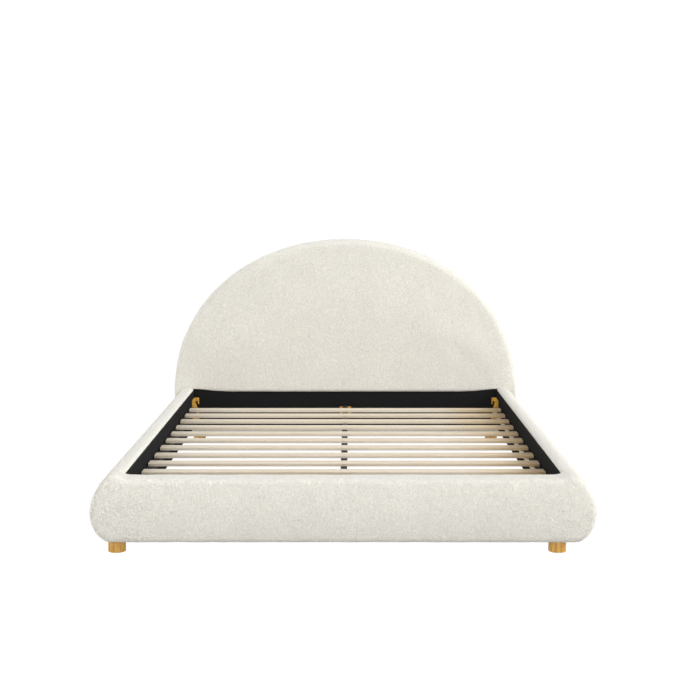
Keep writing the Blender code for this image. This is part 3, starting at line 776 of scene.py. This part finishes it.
def cloth_panel(name, low, high, facing, material):
    """A cloth stapled flat to a wall, between two corners, a little slack between its staples."""
    low, high = Vector(low), Vector(high)
    along = 0 if high.x - low.x > high.y - low.y else 1
    across = 1 - along
    columns = round((high[along] - low[along]) / 0.012)
    rows = round((high.z - low.z) / 0.008)
    points = np.zeros((rows + 1, columns + 1, 3))
    for i in range(rows + 1):
        for j in range(columns + 1):
            u = low[along] + (high[along] - low[along]) * j / columns
            v = low.z + (high.z - low.z) * i / rows
            edge = min(v - low.z, high.z - v)
            slack = 0.0006 * smoothstep(0.0, 0.03, edge) * noise.noise(Vector((u * 9.0, v * 16.0, facing)))
            hem = 0.0004 if edge < 0.009 else 0.0
            points[i, j, along] = u
            points[i, j, across] = (low[across] + high[across]) / 2 + facing * (slack + hem)
            points[i, j, 2] = v
    panel = grid(name, points, material)
    return thickened(panel, LINING_THICKNESS)


def staple_shape():
    """A flat wire staple, its crown along X and its legs down into the wood."""
    half, drop = STAPLE_CROWN / 2, 0.004
    path = [(-half, -drop), (-half, -0.0004), (-half + 0.0005, 0.0), (half - 0.0005, 0.0),
            (half, -0.0004), (half, -drop)]
    wide, thick = STAPLE_WIRE * 0.9, STAPLE_WIRE * 0.55
    loops = []
    for x, z in path:
        inner_x, inner_z = x * (1.0 - thick / half), z - thick
        loops.append([(x, -wide, z), (x, wide, z), (inner_x, wide, inner_z), (inner_x, -wide, inner_z)])
    return loft("staple", loops, BRIGHT_STEEL)


def staple_row(start, end, out, pitch=STAPLE_PITCH):
    """Places for staples from start to end, with their backs to the wall that out points away from."""
    start, end, out = Vector(start), Vector(end), Vector(out).normalized()
    run = end - start
    count = max(2, round(run.length / pitch))
    along = run.normalized()
    turn = Matrix((along, out.cross(along), out)).transposed().to_4x4()
    places = []
    for i in range(count):
        at = start + run * ((i + 0.5) / count)
        places.append(Matrix.Translation(at + out * STAPLE_WIRE) @ turn)
    return places


def make_linings():
    places = []
    for name, side in SIDES.items():
        low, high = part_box(f"side_rail_lining_{name}")
        panel = cloth_panel(f"rail_lining_{name}", low, high, -side, LINING)
        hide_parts(f"side_rail_lining_{name}")
        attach(panel, BODY)
        x = side * (WELL_SIDE + 0.0002)
        for z in (low.z + 0.006, high.z - 0.006):
            places += staple_row((x, low.y + 0.03, z), (x, high.y - 0.03, z), (-side, 0, 0))
    for name, node_name, wall_end, rest in (("head", "head_lining", -1, "head_rail"),
                                            ("foot", "foot_rail_lining", 1, "foot_rail_back_board")):
        low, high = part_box(node_name)
        if name == "head":
            tuck = Vector((0.007, 0.0, 0.0))
            low, high = low - tuck, high + tuck + Vector((0.0, 0.0, 0.009))
        panel = cloth_panel(f"{name}_wall_lining", low, high, wall_end, LINING)
        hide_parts(node_name)
        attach(panel, BODY)
        y = (low.y if wall_end < 0 else high.y) - wall_end * 0.0002
        for z in (low.z + 0.006, high.z - 0.006):
            places += staple_row((low.x + 0.04, y, z), (high.x - 0.04, y, z), (0, wall_end, 0))
    staples = copies("lining_staples", staple_shape(), places, DARK_STEEL)
    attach(staples, BODY)


def make_back_cloth():
    """Black cloth over the open back of the headboard, stapled round its edge."""
    low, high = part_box("headboard_back_cloth")
    outline = evenly_spaced(headboard_outline(HEAD_HIGH.x - high.x), 0.020)
    centre = np.array([0.0, 0.45])
    loops = []
    for share in np.linspace(1.0, 0.04, 26):
        flat = centre + (outline - centre) * share
        sag = 0.0010 * np.array([noise.noise(Vector((x * 5.0, z * 5.0, 3.0))) for x, z in flat])
        depth = (low.y + high.y) / 2 - (1.0 - share) * np.abs(sag)
        loops.append(np.column_stack([flat[:, 0], depth, flat[:, 1]]))
    loops = np.array(loops)
    points = np.concatenate([loops, loops[:, :1]], axis=1)
    cloth = grid("back_dust_cloth", points, BACK_CLOTH)
    shape = bmesh.new()
    shape.from_mesh(cloth.data)
    bmesh.ops.remove_doubles(shape, verts=shape.verts, dist=0.00001)
    hole = [edge for edge in shape.edges
            if edge.is_boundary and (edge.verts[0].co.xz - Vector(centre)).length < 0.1]
    bmesh.ops.contextual_create(shape, geom=hole)
    shape.to_mesh(cloth.data)
    shape.free()
    thickened(cloth, LINING_THICKNESS)
    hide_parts("headboard_back_cloth")
    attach(cloth, BODY)

    edge = evenly_spaced(inset(outline, 0.012), STAPLE_PITCH)
    places = []
    for here, there in zip(edge, np.roll(edge, -1, axis=0)):
        start, end = (Vector((x, high.y - 0.0004, z)) for x, z in (here, there))
        places += staple_row(start, start + (end - start) * 0.2, (0, 1, 0), pitch=1.0)[:1]
    staples = copies("back_cloth_staples", staple_shape(), places, BRIGHT_STEEL)
    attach(staples, BODY)


# ---------------------------------------------------------------- slats and strap


def make_slats():
    for i in range(1, 12):
        low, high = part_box(f"slat_{i:02d}")
        middle = (low + high) / 2
        half = (high - low) / 2
        outline = rounded_rectangle(half.x, half.y, SLAT_CORNER)
        profile = []
        for angle in np.radians(np.linspace(-90, 0, 5)):
            profile.append((SLAT_EDGE * (1 - math.cos(angle)), low.z + SLAT_EDGE * (1 + math.sin(angle))))
        for angle in np.radians(np.linspace(0, 90, 5)):
            profile.append((SLAT_EDGE * (1 - math.cos(angle)), high.z - SLAT_EDGE * (1 - math.sin(angle))))
        rings = []
        for amount, z in profile:
            across, along = (inset(outline, amount) + (middle.x, middle.y)).T
            rings.append(np.column_stack([across, along, np.full(len(outline), z)]))
        slat = smooth_by_angle(loft(f"slat_board_{i:02d}", rings, SLAT_WOOD), 50)
        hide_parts(f"slat_{i:02d}")
        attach(slat, BODY)


def make_strap():
    """Woven tape under the slats, a little slack between them, and a staple under each."""
    low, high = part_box("slat_strap")
    slats = [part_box(f"slat_{i:02d}") for i in range(1, 12)]
    centres = [(a.y + b.y) / 2 for a, b in slats]
    pitch = centres[1] - centres[0]
    ys = np.arange(low.y, high.y, 0.006)
    rows = []
    for y in ys:
        between = math.sin(math.pi * ((y - centres[0]) / pitch % 1.0))
        inside = centres[0] < y < centres[-1]
        drop = 0.0022 * between**2 if inside else 0.0
        z = (low.z + high.z) / 2 - drop
        rows.append([(x, y, z) for x in np.linspace(low.x, high.x, 5)])
    strap = grid("slat_tape", rows, WEBBING)
    thickened(strap, TAPE_THICKNESS)
    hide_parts("slat_strap")
    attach(strap, BODY)
    places = []
    for y in centres:
        for offset in (-0.014, 0.014):
            start = Vector(((low.x + high.x) / 2 - 0.004, y + offset, low.z + 0.0002))
            places += staple_row(start, start + Vector((0.008, 0, 0)), (0, 0, -1), pitch=1.0)[:1]
    staples = copies("tape_staples", staple_shape(), places, BRIGHT_STEEL)
    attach(staples, BODY)


# ---------------------------------------------------------------- turned pieces and fasteners


def ring(radius, z, steps, centre=(0.0, 0.0)):
    angles = np.linspace(0, 2 * math.pi, steps, endpoint=False)
    if callable(radius):
        radii = np.array([radius(a) for a in angles])
    else:
        radii = np.full(steps, radius)
    return np.column_stack([centre[0] + radii * np.cos(angles), centre[1] + radii * np.sin(angles),
                            np.full(steps, z)])


def turned(name, profile, material, steps, centre):
    """A solid of revolution about Z from (radius, height) points, capped flat at both ends."""
    return smooth_by_angle(loft(name, [ring(r, z, steps, centre) for r, z in profile], material), 35)


def cross_recess(size):
    """The edge of a cross recess: four arms of a given reach."""
    def edge(angle):
        from_arm = abs((angle + math.pi / 4) % (math.pi / 2) - math.pi / 4)
        return min(size, 0.24 * size / max(math.sin(from_arm), 1e-6))
    return edge


def hexagon(across):
    def edge(angle):
        return across / 2 / math.cos((angle + math.pi / 6) % (math.pi / 3) - math.pi / 6)
    return edge


def screw_head(radius, height, recess, depth):
    """A domed head with a recess, standing on z = 0."""
    loops = [ring(radius, -0.0004, 32), ring(radius, height * 0.25, 32)]
    for angle in np.radians((25, 50, 75)):
        across = radius * (0.45 + 0.55 * math.cos(angle))
        loops.append(ring(across, height * (0.25 + 0.75 * math.sin(angle)), 32))
    loops.append(ring(recess, height, 32))
    loops.append(ring(lambda a: 0.85 * recess(a), height - depth, 32))
    return smooth_by_angle(loft("screw", loops, BRIGHT_STEEL), 30)


def facing(at, out):
    """The place of a screw whose head points along out."""
    return Matrix.Translation(Vector(at)) @ Vector(out).to_track_quat("Z", "Y").to_matrix().to_4x4()


def make_screws():
    bracket_places = []
    for end in ("head", "foot"):
        for name, side in SIDES.items():
            low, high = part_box(f"corner_bracket_{end}_{name}")
            x = side * (max(abs(low.x), abs(high.x)) - 0.0030)
            flange = 1 if end == "foot" else -1
            wall_y = low.y if end == "foot" else high.y
            for along, down in ((0.035, 0.022), (0.080, 0.022), (0.035, 0.090), (0.080, 0.090)):
                bracket_places.append(facing((x, wall_y + flange * along, high.z - down), (-side, 0, 0)))
        low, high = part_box(f"centre_bracket_{end}")
        y = high.y - 0.0020 if end == "head" else low.y + 0.0020
        for x in (-0.0215, 0.0215):
            for z in (low.z + 0.010, high.z - 0.010):
                bracket_places.append(facing((x, y, z), (0, -1 if end == "head" else 1, 0)))
    screws = copies("bracket_screws", screw_head(0.0048, 0.0024, cross_recess(0.0026), 0.0016),
                    bracket_places, GOLD_ZINC)
    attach(screws, BODY)

    ledger_places = []
    for name, side in SIDES.items():
        low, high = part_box(f"slat_ledger_{name}")
        x = side * min(abs(low.x), abs(high.x))
        for y in np.linspace(low.y + 0.05, high.y - 0.05, 7):
            ledger_places.append(facing((x, y, (low.z + high.z) / 2), (-side, 0, 0)))
    screws = copies("ledger_screws", screw_head(0.0042, 0.0018, cross_recess(0.0023), 0.0014),
                    ledger_places, DARK_STEEL)
    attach(screws, BODY)


def make_hook_bolts():
    """Shoulder bolts with a hexagon socket, in the end walls."""
    for end in ("head", "foot"):
        for name in SIDES:
            low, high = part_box(f"hook_bolt_{end}_{name}")
            centre = (low + high) / 2
            out = -1 if end == "head" else 1
            front = low.y if end == "head" else high.y
            back = high.y if end == "head" else low.y
            radius = (high.z - low.z) / 2
            head, shank, length = 0.004, 0.0035, abs(front - back)
            profile = [(shank, 0.0), (shank, length - head), (radius - 0.0008, length - head),
                       (radius, length - head + 0.0008), (radius, length - 0.0014),
                       (radius - 0.0014, length), (hexagon(0.0050), length),
                       (hexagon(0.0048), length - 0.0030)]
            loops = [ring(edge, z, 40) for edge, z in profile]
            bolt = smooth_by_angle(loft(f"hook_bolt_steel_{end}_{name}", loops, DARK_STEEL), 30)
            bolt.data.transform(facing((centre.x, back, centre.z), (0, out, 0)))
            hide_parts(f"hook_bolt_{end}_{name}")
            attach(bolt, BODY)


def make_legs():
    for name in ("front_left", "front_right", "rear_left", "rear_right"):
        low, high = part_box(f"leg_{name}")
        radius = (high.x - low.x) / 2
        centre = ((low.x + high.x) / 2, (low.y + high.y) / 2)
        profile = [(radius - LEG_EDGE - 0.004, 0.0)]
        for angle in np.radians(np.linspace(-90, 0, 6)):
            across = radius - LEG_EDGE + LEG_EDGE * math.cos(angle)
            profile.append((across, LEG_EDGE * (1 + math.sin(angle))))
        profile += [(radius, high.z - 0.0012), (radius - 0.0008, high.z), (0.006, high.z)]
        leg = turned(f"turned_leg_{name}", profile, LEG_WOOD, 96, centre)
        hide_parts(f"leg_{name}")
        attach(leg, BODY)


def threaded(radius, low, high, pitch, centre):
    """Loops of a real helical thread on a rod."""
    loops = []
    for z in np.arange(low, high, pitch / 6):
        def edge(angle, z=z):
            turn = (z / pitch - angle / (2 * math.pi)) % 1.0
            return radius - THREAD_DEPTH * abs(2.0 * turn - 1.0)
        loops.append(ring(edge, z, 32, centre))
    return loops


def make_levelling_feet():
    """A ribbed plastic foot on a threaded steel stem, which turns in the centre leg's nut."""
    for name in ("front", "rear"):
        low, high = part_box(f"levelling_foot_{name}")
        centre = ((low.x + high.x) / 2, (low.y + high.y) / 2)
        radius = (high.x - low.x) / 2

        def ribbed(angle, radius=radius):
            return radius - 0.0008 * (0.5 + 0.5 * math.cos(36 * angle))

        profile = [(radius - 0.002, 0.0), (ribbed, 0.0015), (ribbed, 0.0048), (radius - 0.003, 0.0060),
                   (0.0095, 0.0066), (0.0085, 0.0080), (0.0044, 0.0084)]
        foot = turned(f"foot_pad_{name}", profile, BLACK_PLASTIC, 144, centre)
        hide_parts(f"levelling_foot_{name}")
        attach(foot, f"{name}_foot_screw")
        thread = threaded(STEM_RADIUS, 0.0081, high.z, STEM_PITCH, centre)
        stem = smooth_by_angle(loft(f"foot_stem_{name}", thread, BRIGHT_STEEL), 30)
        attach(stem, f"{name}_foot_screw")

        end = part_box(f"centre_leg_{name}")[0].z
        profile = [(0.0095, end - 0.0012), (0.0105, end - 0.0004), (0.0105, end + 0.0002),
                   (0.0047, end + 0.0002), (0.0047, end - 0.0012)]
        nut = [ring(edge, z, 48, centre) for edge, z in profile]
        plate = smooth_by_angle(loft(f"foot_nut_{name}", nut, GOLD_ZINC), 30)
        remove_caps(plate)
        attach(plate, BODY)


def remove_caps(piece):
    """Opens a loft's two capped ends, and joins its last loop to its first."""
    shape = bmesh.new()
    shape.from_mesh(piece.data)
    bmesh.ops.delete(shape, geom=[f for f in shape.faces if len(f.verts) > 4], context="FACES_ONLY")
    rims = [edge for edge in shape.edges if edge.is_boundary]
    bmesh.ops.bridge_loops(shape, edges=rims)
    bmesh.ops.recalc_face_normals(shape, faces=shape.faces)
    shape.to_mesh(piece.data)
    shape.free()


# ---------------------------------------------------------------- carried-over nodes


def finish_carried_nodes():
    """Materials and rounded edges for the CAD nodes that stay as they are."""
    looks = {
        "corner_bracket": (GOLD_ZINC, 0.0006), "centre_bracket": (GOLD_ZINC, 0.0005),
        "centre_rail": (BLACK_WOOD, 0.0015), "centre_leg": (BLACK_WOOD, 0.0015),
        "slat_ledger": (BLACK_WOOD, 0.0015), "side_rail_board": (PLYWOOD, 0.0010),
        "headboard_panel": (PLYWOOD, 0.0), "foot_rail_front_board": (PLYWOOD, 0.0),
        "headboard_frame": (PINE, 0.0), "headboard_cross_rail": (PINE, 0.0015),
        "head_rail": (PINE, 0.0015), "foot_rail_back_board": (PINE, 0.0), "leg_plate": (DARK_STEEL, 0.0003),
    }
    for name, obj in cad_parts.items():
        found = [look for prefix, look in looks.items() if name.startswith(prefix)]
        if obj.hide_render or not found:
            continue
        material, edge = found[0]
        obj.data.materials.clear()
        obj.data.materials.append(material)
        if edge:
            bevelled(obj, edge)


# ---------------------------------------------------------------- camera, light and floor


def make_camera():
    data = bpy.data.cameras.new("camera")
    data.lens = CAMERA_LENS
    data.sensor_width = 36.0
    data.clip_end = 60.0
    camera = bpy.data.objects.new("camera", data)
    bpy.context.scene.collection.objects.link(camera)
    camera.location = CAMERA_PLACE
    camera.rotation_euler = (math.radians(CAMERA_TILT), 0.0, 0.0)
    bpy.context.scene.camera = camera


def for_camera(tree, lighting, seen):
    """One strength for light that falls on the bed, and another for what the camera sees."""
    is_camera = node(tree, "ShaderNodeLightPath").outputs["Is Camera Ray"]
    choice = node(tree, "ShaderNodeMix", {"Factor": is_camera, "B": seen})
    if isinstance(lighting, bpy.types.NodeSocket):
        tree.links.new(lighting, choice.inputs["A"])
    else:
        choice.inputs["A"].default_value = lighting
    return choice.outputs["Result"]


def make_light():
    """A soft lamp from the right, in a studio that is brightest round its horizon and at its left."""
    data = bpy.data.lights.new("key", "SUN")
    data.energy = KEY_STRENGTH
    data.angle = math.radians(KEY_SPREAD)
    key = bpy.data.objects.new("key", data)
    bpy.context.scene.collection.objects.link(key)
    key.rotation_euler = Vector(KEY_FROM).to_track_quat("Z", "Y").to_euler()

    world = bpy.data.worlds.new("studio")
    world.use_nodes = True
    tree = world.node_tree
    tree.nodes.clear()
    direction = node(tree, "ShaderNodeTexCoord").outputs["Generated"]
    parts = node(tree, "ShaderNodeSeparateXYZ", {"Vector": direction}).outputs
    level = maths(tree, "SUBTRACT", 1.0, maths(tree, "ABSOLUTE", parts["Z"]))
    glow = maths(tree, "MULTIPLY", maths(tree, "POWER", level, 4.0), HORIZON_STRENGTH)
    sides = maths(tree, "MULTIPLY", parts["X"], maths(tree, "SUBTRACT", parts["X"], HORIZON_LEAN))
    sides = maths(tree, "ADD", maths(tree, "MULTIPLY", sides, HORIZON_SIDES), 1.0)
    glow = maths(tree, "MULTIPLY", glow, sides)
    strength = for_camera(tree, maths(tree, "ADD", glow, SKY_STRENGTH), SEEN_WHITE)
    colour = ramp(tree, parts["Z"], [(0.15, grey(1.0)), (0.90, ZENITH_TONE)])
    light = node(tree, "ShaderNodeBackground", {"Color": colour, "Strength": strength})
    node(tree, "ShaderNodeOutputWorld", {"Surface": light.outputs["Background"]})
    bpy.context.scene.world = world
    bpy.context.scene.view_settings.view_transform = "Standard"


def make_floor():
    """A plain white floor that glows, as an overexposed studio sweep does."""
    material = bpy.data.materials.new("studio_floor")
    material.use_nodes = True
    tree = material.node_tree
    tree.nodes.clear()
    glow = node(tree, "ShaderNodeEmission", {"Strength": for_camera(tree, FLOOR_STRENGTH, SEEN_WHITE)})
    node(tree, "ShaderNodeOutputMaterial", {"Surface": glow.outputs["Emission"]})
    size = 40.0
    corners = [[(-size, -size, 0.0), (size, -size, 0.0)], [(-size, size, 0.0), (size, size, 0.0)]]
    grid("floor", corners, material)


make_camera()
make_light()
make_floor()
make_headboard_pad()
make_foot_pad()
for side_name, side_sign in SIDES.items():
    make_rail_pad(side_name, side_sign)
make_linings()
make_back_cloth()
make_slats()
make_strap()
make_legs()
make_hook_bolts()
make_screws()
make_levelling_feet()
finish_carried_nodes()
